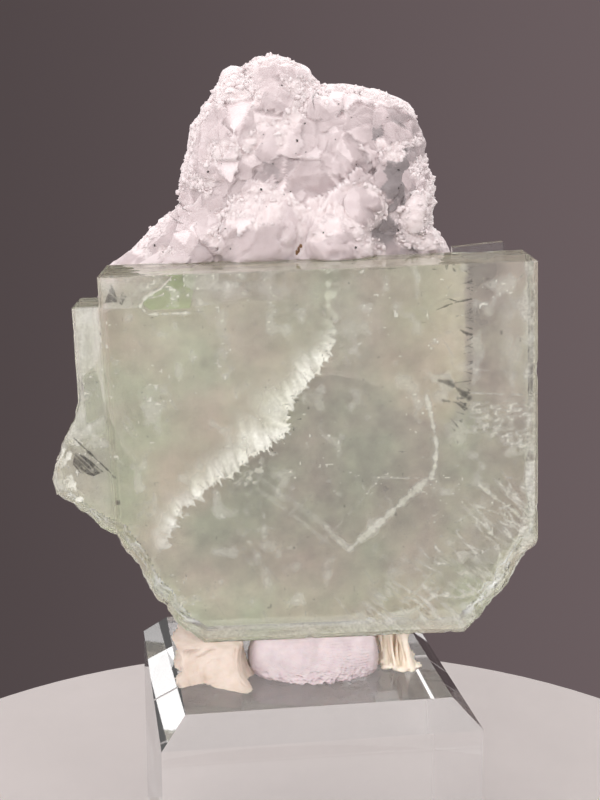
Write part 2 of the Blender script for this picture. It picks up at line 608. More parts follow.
def face_relief(x, z):
    """How far each point of the fluorite's front face lies behind the flat, in millimetres."""
    p = columns(x, 0.0, z)
    relief = 0.02 * (fractal(p * 0.16, 3, 5) + 1)
    upper = smooth(-0.08, 0.08, z - (BAND_FOOT + 0.02 * (x + 20) + 0.05 * fractal(p * 0.8, 2, 3)))
    relief += 0.05 * upper * smooth(-5.0, -9.0, x)
    ridges = 1 - np.abs(value_noise(columns((x + z) * 0.42, 0.0, (x - z) * 0.12), 7))
    relief += near_lower_right(x, z) * (0.22 * ridges ** 3 + 0.07 * fractal(p * 1.1, 4, 8))
    mottle = smooth(15.8, 16.8, x) * smooth(31.3, 30.8, z) * smooth(22.0, 26.0, z)
    relief += mottle * 0.09 * np.abs(fractal(p * 1.5, 4, 9))
    pits = (fractal(p * (1.6, 1.0, 2.6), 3, 12) > 0.42) & (z > 44.6) & (x > 14)
    return np.clip(relief + 0.12 * pits, 0, 0.6)


def side_ring(edge, outward, rough, y, depth, seed, further=0.0):
    """The outline at one depth: conchoidal where broken, otherwise striated and slightly nicked."""
    p = columns(edge[:, 0] * 0.5, y * 0.5, edge[:, 1] * 0.5)
    end = min(y, depth - y)
    slope = 0.8 * np.exp(-end / 0.8) * (1 + 0.7 * value_noise(p * 0.9, seed + 1))
    scoops = 0.55 * np.abs(fractal(p * 0.8, 4, seed + 2)) + 0.16 * np.abs(fractal(p * 3.1, 3, seed + 3))
    scoops -= smooth(19.0, 14.0, edge[:, 1]) * smooth(24.0, 20.0, edge[:, 0])
    nick = np.clip(fractal(p * 1.3, 3, seed + 4) - 0.5, 0, 1) * 0.9 * math.exp(-end / 0.5)
    lines = 0.05 * np.abs(fractal(p * (0.4, 5.0, 0.4), 3, seed + 5))
    straight = (0.14 if end < 0.01 else 0.0) + nick + lines
    inset = rough * (slope + scoops) + (1 - rough) * straight + further
    return edge - outward * inset[:, None]


def slab(outline, front, back, seed, spacing, front_rings, back_rings, relief=False):
    """A closed slab with the outline given at its middle depth."""
    edge, outward, rough = sampled_outline(outline, spacing)
    count = len(edge)
    middle = np.array([-4.0, 24.0]) if relief else np.mean(np.array(outline), 0)
    depth = back - front
    layers = [0.0, 0.12, 0.3] + list(np.linspace(0.6, depth - 0.6, 22)) + [depth - 0.3, depth - 0.12, depth]
    rings = [side_ring(edge, outward, rough, y, depth, seed) for y in layers]

    def end_rings(ring, number, y):
        """Rings from the slab's edge in towards its middle."""
        flats = [middle + (ring - middle) * (r / number) ** 0.92 for r in range(number, 0, -1)]
        return [columns(flat[:, 0], y, flat[:, 1]) for flat in flats]

    sides = [columns(ring[:, 0], front + y, ring[:, 1]) for ring, y in zip(rings[1:-1], layers[1:-1])]
    all_rings = end_rings(rings[0], front_rings, front) + sides + end_rings(rings[-1], back_rings, back)
    points = np.vstack(all_rings)
    numbers = np.arange(len(points)).reshape(-1, count)
    back_start = front_rings + len(sides)
    across = np.vstack([numbers[:1], numbers[front_rings:back_start + 1]])
    if relief:
        face = points[:front_rings * count]
        off = inside_outline(face[:, 0], face[:, 2], list(map(tuple, rings[0][::6])))[1]
        face[:, 1] += face_relief(face[:, 0], face[:, 2]) * smooth(0.0, 1.2, off)
    faces = [between(numbers[:front_rings]), between(across)[:, ::-1], between(numbers[back_start:])[:, ::-1]]
    centre = len(points)
    points = np.vstack([points, [[middle[0], front + 0.02, middle[1]], [middle[0], back, middle[1]]]])
    last_front, last_back = numbers[front_rings - 1], numbers[-1]
    faces.append(columns(centre, last_front, np.roll(last_front, -1)))
    faces.append(columns(centre + 1, np.roll(last_back, -1), last_back))
    return points, [face for part in faces for face in part.tolist()]


def join_solid(base, others):
    """Unites closed pieces into the first one, and leaves a plain mesh."""
    for other in others:
        step = base.modifiers.new("join", "BOOLEAN")
        step.operation = "UNION"
        step.solver = "MANIFOLD"
        step.object = other
    bpy.context.view_layer.update()
    made = bpy.data.meshes.new_from_object(base.evaluated_get(bpy.context.evaluated_depsgraph_get()))
    base.modifiers.clear()
    old = base.data
    base.data = made
    bpy.data.meshes.remove(old)
    for other in others:
        bpy.data.objects.remove(other)


def fluorite(material):
    """The crystal as one clear solid, with thin clouds, cracks and frosted sides inside it."""
    main_slab = slab(
        CRYSTAL, 0.0, DEPTH, CRYSTAL_SEED, spacing=0.36, front_rings=66, back_rings=24, relief=True
    )
    body = mesh_piece("fluorite", *main_slab, material, "fluorite")
    side_slab = slab(
        COLUMN, COLUMN_FRONT, COLUMN_BACK, COLUMN_SEED, spacing=0.42, front_rings=10, back_rings=8
    )
    column = new_object("column", *side_slab)
    corners = [(x, y, z) for y in (PLATE_BACK, PLATE_FRONT) for x, z in PLATE]
    plate = new_object("plate", corners, tube(2, len(PLATE)))
    join_solid(body, [column, plate])
    mesh = body.data
    mesh.polygons.foreach_set("use_smooth", np.full(len(mesh.polygons), True))
    mesh.set_sharp_from_angle(angle=math.radians(24))
    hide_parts("fluorite_crystal")

    flat = np.linalg.inv(np.array(SPECIMEN))
    world = np.array([v.co[:] for v in mesh.vertices])
    inner = (world @ flat[:3, :3].T + flat[:3, 3]) / MM
    tree = BVHTree.FromPolygons(inner.tolist(), [tuple(f.vertices) for f in mesh.polygons])
    cream = (colour(244, 236, 212), colour(236, 232, 206))
    green = (colour(208, 220, 178), colour(190, 206, 158))
    dark = (colour(58, 52, 50), colour(40, 36, 34))

    def veil(name, paint, depth, pitch, colours, patches, grain, grain_low, lean=0.0, **shader):
        look = veil_material(name, *colours, patches, grain, grain_low, **shader)
        sheet("veil_" + name, depth, paint, look, tree, pitch, lean)

    veil("contact", paint_contact, 11.2, COARSE_PITCH, (PINK, MOSS), 70.0, 900.0, 0.75)
    veil("zone", paint_zone, 9.4, PITCH, cream, 90.0, 900.0, 0.8)
    veil("haze", paint_haze, 7.4, COARSE_PITCH, (PINK, MOSS), 80.0, 500.0, 0.85)
    veil("patch", paint_patch, 6.0, PITCH, green, 200.0, 900.0, 0.85)
    glossy = {"Metallic": 0.8, "Roughness": 0.4}
    veil("feather", paint_feather, 4.4, PITCH, (WHITE, PALE), 300.0, 1800.0, 0.8, lean=0.22, **glossy)
    veil("lines", paint_lines, 3.0, PITCH, (WHITE, PALE), 300.0, 2200.0, 0.8)
    veil("marks", paint_front, 1.0, PITCH, (WHITE, PALE), 300.0, 2200.0, 0.45)
    veil("dark", paint_dark, 2.5, FINE_PITCH, dark, 300.0, 1500.0, 0.7)
    frosted = veil_material("frosted sides", PINK, MOSS, 120.0, 1500.0, 0.5)
    skin("skin_crystal", CRYSTAL, 0.0, DEPTH, CRYSTAL_SEED, side_strength, frosted)
    skin("skin_column", COLUMN, COLUMN_FRONT, COLUMN_BACK, COLUMN_SEED, column_strength, frosted)


def veiled_piece(name, points, faces, veil, material):
    """A cloud piece with only those points that its faces use."""
    used = np.unique(faces)
    order = np.zeros(len(points), int)
    order[used] = np.arange(len(used))
    mesh_piece(name, points[used], order[faces], material, "fluorite", veil=veil[used])


def sheet(name, depth, paint, material, body_tree, pitch, lean=0.0):
    """A thin cloud inside the crystal: a grid of points at one depth, kept where paint gives a veil.

    paint takes the points' x and z, and the points themselves as places for noise.
    """
    gx, gz = np.meshgrid(np.arange(-36.6, 25.2, pitch), np.arange(0.3, 48.3, pitch))
    x, z = gx.ravel(), gz.ravel()
    p = columns(x, depth, z)
    y = np.clip(depth + lean * (z - 26.0) + 0.12 * fractal(p * 0.2, 2, 4), 0.7, 11.4)
    points = columns(x, y, z)
    veil = paint(x, z, p)
    shown = veil > LEAST_VEIL
    room = np.zeros(len(x))
    room[shown] = room_inside(points[shown], body_tree)
    veil = veil * smooth(0.05, 0.35, room)
    grid = np.arange(len(x)).reshape(gx.shape)
    quads = np.stack([grid[:-1, :-1], grid[:-1, 1:], grid[1:, 1:], grid[1:, :-1]], 2).reshape(-1, 4)
    quads = quads[(veil[quads].max(1) > LEAST_VEIL) & (room[quads].min(1) > 0.04)]
    veiled_piece(name, points, quads, veil, material)


def room_inside(points, body_tree):
    """How far inside the crystal each point lies, up to 3 mm, and 0 outside it."""
    x, y, z = points.T
    inside, off = inside_outline(x, z, CRYSTAL)
    in_column, column_off = inside_outline(x, z, COLUMN)
    within = (y > COLUMN_FRONT + 0.1) & (y < COLUMN_BACK - 0.1)
    in_column &= within
    room = np.where(inside, np.minimum(off, 3.0), np.where(in_column, np.minimum(column_off, 3.0), 0.0))
    # The column and the crystal are grown together here.
    joined = (inside | in_column) & (x > -31.6) & (x < -26.2) & (z > 18.0) & (z < 43.4) & within
    room[joined] = 3.0
    # Near the broken corners the distance is measured to the surface itself.
    broken = ((z < 13.5) & (x > 12.0)) | ((z < 18.0) & (x < -14.0)) | ((z < 34.0) & (x < -31.6))
    for i in np.nonzero((room > 0) & (room < 2.6) & broken)[0]:
        place, normal, _, distance = body_tree.find_nearest(Vector(points[i]))
        room[i] = min(3.0, distance) if (Vector(points[i]) - place).dot(normal) < 0 else 0.0
    return room


def skin(name, outline, front, back, seed, strength, material):
    """A frosted layer just under the sides of a slab."""
    edge, outward, rough = sampled_outline(outline, 0.3)
    depth = back - front
    points = []
    veil = []
    for y in np.arange(0.5, depth - 0.4, 0.3):
        ring = side_ring(edge, outward, rough, y, depth, seed, 0.22)
        p = columns(ring[:, 0], y, ring[:, 1])
        points.append(p + (0.0, front, 0.0))
        grain = 0.5 + 0.6 * fractal(p * 0.9, 4, seed + 8)
        lines = 0.5 + 0.7 * fractal(p * (0.15, 2.6, 0.15), 3, seed + 9)
        level = rough * 0.75 * grain + (1 - rough) * strength(edge) * lines
        veil.append(np.clip(level, 0, 0.9) * smooth(0.4, 1.0, min(y, depth - y)))
    veil = np.concatenate(veil)
    faces = between(np.arange(len(veil)).reshape(-1, len(edge)))
    veiled_piece(name, np.vstack(points), faces[veil[faces].max(1) > LEAST_VEIL], veil, material)


def side_strength(edge):
    """How frosted the straight sides are: the bottom most, the top not at all."""
    x, z = edge[:, 0], edge[:, 1]
    bottom = smooth(1.0, 0.2, z) * 0.9
    sides = smooth(1.2, 0.4, np.minimum(np.abs(x - RIGHT), np.abs(x - LEFT))) * 0.75
    return np.where(z > TOP - 0.3, 0.0, np.maximum(bottom, sides))


def column_strength(edge):
    """How frosted the column's sides are: hardly where it joins the crystal."""
    return np.where(edge[:, 0] < -32.0, 0.6, 0.1)


def spikes(along, out, length, spacing, reach, width, seed):
    """Needles that stand out from a line: a mask over distances along it and out from it."""
    rng = np.random.default_rng(seed)
    mask = np.zeros(len(along))
    near = np.nonzero((out > -0.3) & (out < reach[1]))[0]
    for at in np.arange(0.2, length, spacing):
        at += rng.uniform(-0.5, 0.5) * spacing
        tall = rng.uniform(reach[0], reach[1]) * rng.uniform(0.3, 1.0)
        wide = rng.uniform(*width)
        lean = rng.uniform(-0.6, 0.6)
        room = wide * (1 - np.clip(out[near], 0, None) / tall)
        off = np.abs(along[near] - at - lean * out[near])
        mask[near] = np.maximum(mask[near], smooth(0.0, 0.5, (room - off) / wide))
    return mask


def lines_cover(x, z, lines, seed):
    """A mask of thin, slightly ragged lines."""
    total = np.zeros(len(x))
    for line, width, strength in lines:
        distance, _, along = line_distance(x, z, line)
        near = distance < width * 3
        ragged = fractal(columns(along[near] * 1.9, 0.0, distance[near]), 4, seed)
        wide = np.maximum(width * (1 + 0.6 * ragged), 0.02)
        level = strength * (1 + 0.2 * ragged) * smooth(1.7, 0.3, distance[near] / wide)
        total[near] = np.maximum(total[near], level)
    return total


def chips(x, z, places, low, high, ragged):
    """Small bright spots with ragged edges."""
    return sum(smooth(low, high, np.hypot(x - a, z - b) / size + ragged) for a, b, size in places)


def side_of_feather(x, z):
    """Distance to the feathered boundary, positive up and left of it, and how far down it lies."""
    distance, side, along = line_distance(x, z, FEATHER)
    return -distance * side + 0.35 * fractal(columns(along * 1.3, 0.0, 0.0), 3, 41), along


def paint_contact(x, z, p):
    """The pinkish grey zone up and left of the feather, near the back face."""
    signed, along = side_of_feather(x, z)
    brushed = fractal(columns((x + z) * 0.10, 0.0, (x - z) * 0.32), 4, 2)
    cloud = 0.34 + 0.13 * fractal(p * 0.11, 3, 3) + 0.10 * brushed
    cloud += 0.18 * smooth(9.0, 1.0, signed) * smooth(6.0, 16.0, along)
    cloud -= 0.14 * blob(x, z, (-15.5, 33.0), (5.0, 4.0))
    cloud -= 0.16 * inside_soft(x, z, COLUMN_FOOT_PATCH, 0.5)
    thinner = 0.45 + 0.6 * smooth(-0.1, 0.4, fractal(p * 0.28, 3, 6))
    cloud = np.where(z > BAND_FOOT + 0.1, cloud * thinner, cloud)
    cloud *= 1 - inside_soft(x, z, PATCH, 0.3)
    return np.clip(smooth(-0.1, 0.5, signed) * smooth(-30.0, -28.8, x) * cloud, 0, 0.95)


def zone_teeth(x, z):
    """Distance left of the cream zone's edge, and the dark cracks that run into it."""
    distance, side, along = line_distance(x, z, ZONE_EDGE)
    zone = -distance * side
    teeth = spikes(along, zone, 22.0, 0.55, (1.6, 4.6), (0.08, 0.16), 15)
    return zone, np.maximum(teeth * 0.9, lines_cover(x, z, BIG_TEETH, 16))


def paint_zone(x, z, p):
    """The cream zone with a straight right edge that dark cracks run into."""
    signed, _ = side_of_feather(x, z)
    zone, teeth = zone_teeth(x, z)
    cloud = 0.50 + 0.12 * fractal(p * 0.2, 3, 17) + 0.25 * smooth(7.0, 0.5, zone)
    body = smooth(0.0, 0.12, zone) * smooth(15.0, 5.5, zone) * smooth(-0.2, -1.2, signed)
    fade = smooth(25.4, 29.5, z + 0.5 * (x - 13) + 1.2 * fractal(p * 0.35, 3, 18))
    thin = 0.55 * blob(x, z, (10.6, 33.4), (2.6, 3.4))
    return np.clip(body * fade * cloud * (1 - 0.85 * teeth) * (1 - thin), 0, 0.9)


def paint_patch(x, z, p):
    """The clearer green patch under the top left."""
    return inside_soft(x, z, PATCH, 0.15) * (0.62 + 0.1 * fractal(p * 0.6, 3, 20))


def paint_haze(x, z, p):
    """The soft cloud through the whole crystal, thinner right of the cream zone and in the lower middle."""
    cloud = 0.52 + 0.14 * fractal(p * 0.1, 3, 61) + 0.09 * fractal(p * 0.5, 4, 62)
    lower_left = 0.22 * smooth(-12.0, -24.0, x) * smooth(26.0, 14.0, z)
    lower = 0.22 * smooth(9.0, 3.0, z)
    right = (-0.19 * smooth(16.9, 17.3, x) + 0.22 * smooth(19.5, 24.0, x)) * smooth(26.0, 31.5, z)
    right -= 0.08 * smooth(16.5, 17.5, x) * smooth(31.5, 26.0, z)
    middle = 0.04 * blob(x, z, (-3.0, 22.0), (7.0, 6.0))
    column = 0.10 * smooth(-28.8, -29.8, x)
    top = -0.22 * smooth(BAND_FOOT, BAND_FOOT + 0.15, z) * smooth(-4.0, -8.0, x)
    patch = -0.25 * inside_soft(x, z, PATCH, 0.3)
    return np.clip(cloud + lower_left + lower + right + middle + column + top + patch, 0.05, 0.85)


def paint_feather(x, z, p):
    """The bright feathered boundary: needles at its lower right, strokes across it, a fade up and left."""
    signed, along = side_of_feather(x, z)
    middle = np.exp(-((along - 25.0) / 7.5) ** 2)
    upper = np.exp(-((along - 13.0) / 5.0) ** 2)
    tail = smooth(30.0, 34.0, along) * smooth(50.0, 42.0, along)
    needles = spikes(along, -signed, 48.0, 0.5, (0.5, 2.6), (0.14, 0.38), 51)
    needles *= np.clip(middle + 0.6 * upper + 0.5 * tail + 0.15, 0, 1)
    cracks = spikes(along, signed, 48.0, 0.8, (0.8, 3.0), (0.10, 0.22), 53)
    strokes = fractal(columns(along * 1.5 + signed * 0.5, 0.0, signed * 0.35), 4, 52)
    width = 0.8 + 3.6 * middle + 1.6 * upper + 1.0 * tail
    band = smooth(-0.05, 0.12, signed) * np.exp(-(np.clip(signed, 0, None) / width) ** 2)
    level = np.clip(0.34 + 1.05 * middle + 0.60 * upper + 0.40 * tail, 0, 1)
    body = band * level * (1 + 0.5 * strokes) * (1 - 0.75 * cracks)
    sparkle = smooth(1.0, 0.5, np.hypot((x + 0.5) / 0.9, (z - 44.4) / 1.5) + 0.7 * fractal(p * 1.4, 3, 74))
    bright = chips(x, z, LEFT_CHIPS, 1.0, 0.6, 0.8 * fractal(p * 1.7, 3, 77))
    return np.clip(np.maximum.reduce([body, 0.95 * needles, sparkle, bright]), 0, 1)


def paint_lines(x, z, p):
    """Phantom lines, the rim of the green patch, small wisps and tiny inclusions."""
    lines = lines_cover(x, z, PHANTOMS, 81) + lines_cover(x, z, PATCH_LINES, 82)
    dots = smooth(0.62, 0.70, value_noise(p * 2.4, 72)) * smooth(-0.1, 0.4, fractal(p * 0.2, 2, 73)) * 0.9
    wisp = smooth(0.3, 1.0, fractal(p * (0.5, 0.3, 0.42), 5, 71)) * 0.4
    streak = smooth(0.55, 1.2, fractal(columns((x + 0.6 * z) * 1.5, p[:, 1], (z - 0.6 * x) * 0.22), 3, 78))
    wisp = np.maximum(wisp, streak * 0.3 * smooth(-0.2, 0.5, fractal(p * 0.13, 2, 79)))
    band = smooth(BAND_FOOT, BAND_FOOT + 0.15, z) * smooth(-5.0, -8.0, x)
    band *= 1 - inside_soft(x, z, PATCH, 0.2)
    band *= 0.34 * (0.7 + 0.7 * fractal(p * (0.6, 1.0, 0.9), 4, 80))
    low = smooth(0.1, 0.9, fractal(p * 1.1, 4, 75)) * 0.5 * blob(x, z, (-10.0, 13.0), (3.4, 4.4))
    second = smooth(0.0, 0.6, fractal(p * 1.3, 4, 76))
    second *= 0.75 * smooth(1.6, 0.3, line_distance(x, z, LOW_WISP)[0])
    column = smooth(-29.3, -30.2, x) * (0.70 + 0.35 * np.abs(fractal(p * (1.6, 1, 0.25), 4, 97)))
    column *= (0.25 + 0.75 * smooth(27.0, 31.0, z)) * (1 - 0.8 * inside_soft(x, z, COLUMN_PATCH, 0.6))
    lilac = 0.45 * inside_soft(x, z, LILAC_PATCH, 0.15)
    return np.clip(lines + dots + wisp + np.maximum(lilac, band) + low + second + column, 0, 0.95)


def paint_front(x, z, p):
    """Etching and fracture marks close to the front face, mostly at the right and the lower right."""
    speckle = smooth(0.15, 0.65, fractal(p * (1.9, 1.0, 2.8), 2, 91))
    layers = smooth(0.55, 0.95, 1 - np.abs(fractal(p * (0.6, 1.0, 2.6), 3, 90)))
    marks = inside_soft(x, z, ETCHED_PATCH, 1.4) * np.maximum(0.85 * speckle, 0.5 * layers)
    hair = columns((x + z) * 0.9, p[:, 1], (x - z) * 0.16)
    threads = smooth(0.78, 0.97, 1 - np.abs(fractal(hair, 3, 92)))
    lower_right = near_lower_right(x, z)
    marks = np.maximum(marks, lower_right * threads * 0.75)
    grey = lower_right * 0.22 * smooth(-0.2, 0.6, fractal(p * 0.5, 4, 93))
    cloudy = fractal(p * (1.0, 1.0, 0.35), 4, 94)
    right = smooth(19.0, 24.4, x) * smooth(24.0, 30.0, z) * (0.15 + 0.5 * smooth(-0.3, 0.8, cloudy))
    edge = smooth(23.4, 24.4, x) * smooth(14.0, 18.0, z) * (0.4 + 0.35 * fractal(p * 1.3, 4, 100))
    bevel = inside_soft(x, z, RIGHT_BEVEL, 0.3) * 0.7
    bright = chips(x, z, RIGHT_CHIPS, 1.2, 0.3, 0.5 * fractal(p * 1.2, 3, 95)) * 0.8
    low_left = smooth(-18.0, -26.0, x) * smooth(26.0, 20.0, z)
    hairs = smooth(0.84, 0.98, 1 - np.abs(fractal(p * (0.5, 1, 1.0), 3, 96))) * 0.22 * low_left
    foot = smooth(3.4, 0.9, z) * (0.42 + 0.2 * fractal(p * (0.5, 1.0, 1.2), 3, 101))
    left = smooth(-24.0, -28.6, x) * smooth(43.6, 44.4, z) * 0.35 * smooth(-0.3, 0.5, fractal(p * 0.7, 3, 98))
    total = marks + grey + np.maximum(right, edge) + bevel + bright + hairs + left + foot
    return np.clip(total + lines_cover(x, z, SCRATCHES, 99), 0, 0.9) * (x > -29.0)


def paint_dark(x, z, p):
    """Dark cracks, pits and chips."""
    total = np.maximum(lines_cover(x, z, DARK_LINES, 88), 0.9 * zone_teeth(x, z)[1])
    signed, along = side_of_feather(x, z)
    cracks = spikes(along, signed, 48.0, 1.6, (0.6, 2.6), (0.07, 0.14), 58)
    total = np.maximum(total, 0.6 * cracks * smooth(14.0, 18.0, along) * smooth(34.0, 30.0, along))
    glints = smooth(0.75, 0.95, 1 - np.abs(fractal(columns((x + z) * 1.3, p[:, 1], (x - z) * 0.3), 2, 59)))
    for spot in DARK_SPOTS:
        total = np.maximum(total, 0.85 * inside_soft(x, z, spot, 0.12) * (1 - 0.8 * glints))
    pits = smooth(0.76, 0.82, value_noise(p * 2.1, 57)) * 0.5
    return np.clip(np.maximum(total, pits), 0, 0.9)


def crust_point(direction, reach, lowest):
    """Where directions from the middle of the crust meet its body."""
    across = np.hypot(direction[:, 0], direction[:, 2])
    share = reach * np.power(across, CRUST_ROUNDNESS) / np.maximum(across, 1e-6)
    x = CRUST_CENTRE[0] + direction[:, 0] * share
    z = CRUST_CENTRE[1] + direction[:, 2] * share
    rise = np.minimum(1.0, (z - lowest) / (TOP - lowest))
    side = np.where(direction[:, 1] < 0, -CRUST_AHEAD, CRUST_BEHIND)
    depth = CRUST_MIDDLE + side * np.power(np.abs(direction[:, 1]), CRUST_ROUNDNESS)
    y = DEPTH + (depth - DEPTH) * (0.3 + 0.7 * rise) + np.maximum(0.0, z - TOP) * 0.11
    return columns(x, y, z)


def radial(outline, middle, turns):
    """An outline's distance from its middle in these directions."""
    polar = sorted((math.atan2(b - middle[1], a - middle[0]), math.hypot(a - middle[0], b - middle[1]))
                   for a, b in outline)
    return np.interp(turns, [a for a, _ in polar], [r for _, r in polar], period=math.tau)


def crust_body():
    """Points and triangles of the crust's main mass, with smaller triangles on the front."""
    direction, faces = ball(7, lambda place: place.y < 0.12 and place.z > -0.18)
    direction /= np.linalg.norm(direction, axis=1)[:, None]
    turns = np.arctan2(direction[:, 2], direction[:, 0])
    reach = radial(CRUST_OUTLINE, CRUST_CENTRE, turns) - 0.5
    points = crust_point(direction, reach, min(z for _, z in CRUST_OUTLINE))
    for axis in range(3):
        coarse, fine = fractal(points * 0.14, 3, 90 + axis), fractal(points * 0.5, 2, 95 + axis)
        points[:, axis] += 0.9 * coarse + 0.12 * fine
    for (x, z), (wide, tall), forward in MOUNDS:
        off = np.hypot((points[:, 0] - x) / wide, (points[:, 2] - z) / tall)
        front = points[:, 1] < 17.5
        points[:, 1] -= np.where(front & (off < 1), forward * smooth(1.05, 0.35, off), 0)
    return points, faces


def point_normals(points, faces):
    """The outward direction at each point."""
    a, b, c = (points[faces[:, i]] for i in range(3))
    cross = np.cross(b - a, c - a)
    normals = np.zeros_like(points)
    for i, axis in itertools.product(range(3), repeat=2):
        normals[:, axis] += np.bincount(faces[:, i], cross[:, axis], len(points))
    return normals / np.maximum(np.linalg.norm(normals, axis=1), 1e-9)[:, None]


def frames(normals, rng, common, scatter):
    """Two unit vectors across each normal, the first one near a common direction."""
    first = common - normals * (normals @ common)[:, None]
    first /= np.maximum(np.linalg.norm(first, axis=1), 1e-6)[:, None]
    second = np.cross(normals, first)
    turn = rng.normal(0, scatter, len(normals)) + (rng.random(len(normals)) < 0.25) * math.pi
    cos, sin = np.cos(turn)[:, None], np.sin(turn)[:, None]
    return first * cos + second * sin, second * cos - first * sin


def spread(points, normals, spacing, rng, tries):
    """Well spaced random points among these, with the normals there."""
    chosen = np.empty((0, 3))
    kept = []
    for i in rng.choice(len(points), min(tries, len(points)), replace=False):
        if len(kept) == 0 or np.min(np.sum((chosen[:len(kept)] - points[i]) ** 2, 1)) > spacing ** 2:
            if len(kept) == len(chosen):
                chosen = np.vstack([chosen, np.zeros((512, 3))])
            chosen[len(kept)] = points[i]
            kept.append(i)
    return points[kept], normals[kept]


def facets(points, normals, spacing, height, slope, rng, tries):
    """How far flat three-sided crystal faces stand out from these points, and a shade for each face."""
    seeds, up = spread(points, normals, spacing, rng, tries)
    up = up + rng.normal(0, 0.10, up.shape)
    up /= np.linalg.norm(up, axis=1)[:, None]
    first, second = frames(up, rng, np.array([0.05, 0.0, -1.0]), 0.3)
    rises = height * rng.uniform(0.3, 1.3, len(seeds))
    slopes = slope * rng.uniform(0.6, 1.4, len(seeds))
    planes = np.empty((len(seeds), 3, 3))
    for k in range(3):
        angle = math.tau * k / 3
        plane = up + (first * math.cos(angle) + second * math.sin(angle)) * slopes[:, None]
        planes[:, k] = plane / np.linalg.norm(plane, axis=1)[:, None]
    apexes = seeds + up * rises[:, None]
    shades = rng.normal(0, 1, (len(seeds), 3))
    tree = KDTree(len(seeds))
    for i, seed in enumerate(seeds):
        tree.insert(seed, i)
    tree.balance()
    near = np.array([[found[1] for found in tree.find_n(p, 7)] for p in points])
    away = apexes[near] - points[:, None]
    out = np.einsum("vki,vkji->vkj", away, planes[near])
    out /= np.maximum(np.einsum("vi,vkji->vkj", normals, planes[near]), 0.3)
    lowest = out.argmin(2)
    heights = out.min(2)
    winner = heights.argmax(1)
    rows = np.arange(len(points))
    return heights[rows, winner], shades[near[rows, winner], lowest[rows, winner]]


def clear_of_fluorite(points):
    """Moves points of the crust out of the fluorite, to its back face or to its top face."""
    back, top = DEPTH + CONTACT_GAP, TOP + CONTACT_GAP
    inside = (points[:, 1] < back) & (points[:, 2] < top)
    near_top = inside & (TOP - points[:, 2] < DEPTH - points[:, 1])
    points[near_top, 2] = top
    points[inside & ~near_top, 1] = back
    return points


def frost_cover(points):
    """How much rough white frosting covers each point of the crust, from 0 to 1."""
    x, z = points[:, 0], points[:, 2]
    jag = fractal(points * 0.9, 4, 121) * 0.55
    cover = np.zeros(len(points))
    front = points[:, 1] < 19.0
    for line, width in FROST:
        distance = line_distance(x[front], z[front], line)[0]
        cover[front] = np.maximum(cover[front], smooth(0.25, -0.1, distance / width - 0.85 + jag[front]))
    patches = smooth(0.28, 0.42, fractal(points * 0.23, 4, 122) + 0.1 * jag)
    return np.where(front & (z > TOP - 1), cover, np.maximum(cover * 0.5, patches))


def crust_surface(rng):
    """Points, triangles, shade and frosting of the crust, with its crystal faces raised."""
    body, triangles = crust_body()
    normals = point_normals(body, triangles)
    large, large_shade = facets(body, normals, 3.4, 0.50, 0.27, rng, 9000)
    small, small_shade = facets(body, normals, 1.5, 0.26, 0.36, rng, 30000)
    crowded = smooth(-0.15, 0.35, fractal(body * 0.25, 3, 105))
    out = np.clip(large, -0.9, 1.0) + crowded * np.clip(small, -0.3, 0.4)
    tone = 0.54 + 0.13 * large_shade + crowded * 0.09 * small_shade + 0.10 * fractal(body * 0.12, 3, 101)
    x, y, z = body.T
    front = y < 18.0
    tone -= 0.34 * front * smooth(0.0, 8.0, x) * smooth(69.0, 62.0, z)
    tone += 0.30 * smooth(15.0, 21.0, y)
    flat_face = np.zeros(len(body))
    for (ax, az), (bx, bz), (cx, cz) in BRIGHT_FACES:
        turn = (bx - ax) * (cz - az) - (bz - az) * (cx - ax)
        u = ((x - ax) * (cz - az) - (z - az) * (cx - ax)) / turn
        v = ((bx - ax) * (z - az) - (bz - az) * (x - ax)) / turn
        inside = front & (u > 0) & (v > 0) & (u + v < 1)
        out = np.where(inside, 0.4 + 0.7 * v, out)
        tone = np.where(inside, 1.0, tone)
        flat_face = np.maximum(flat_face, inside)
    grey = blob(x, z, *GREY_HOLLOW) * front
    cover = frost_cover(body) * (1 - 0.9 * grey) * (1 - flat_face)
    lumps = np.abs(value_noise(body * 1.15, 123)) + 0.55 * np.abs(value_noise(body * 2.5, 124))
    out = out * (1 - 0.4 * cover) + cover * (0.05 + 0.5 * lumps) + 0.02 * fractal(body * 2.6, 2, 125)
    return clear_of_fluorite(body + normals * out[:, None]), triangles, tone - 0.8 * grey, cover


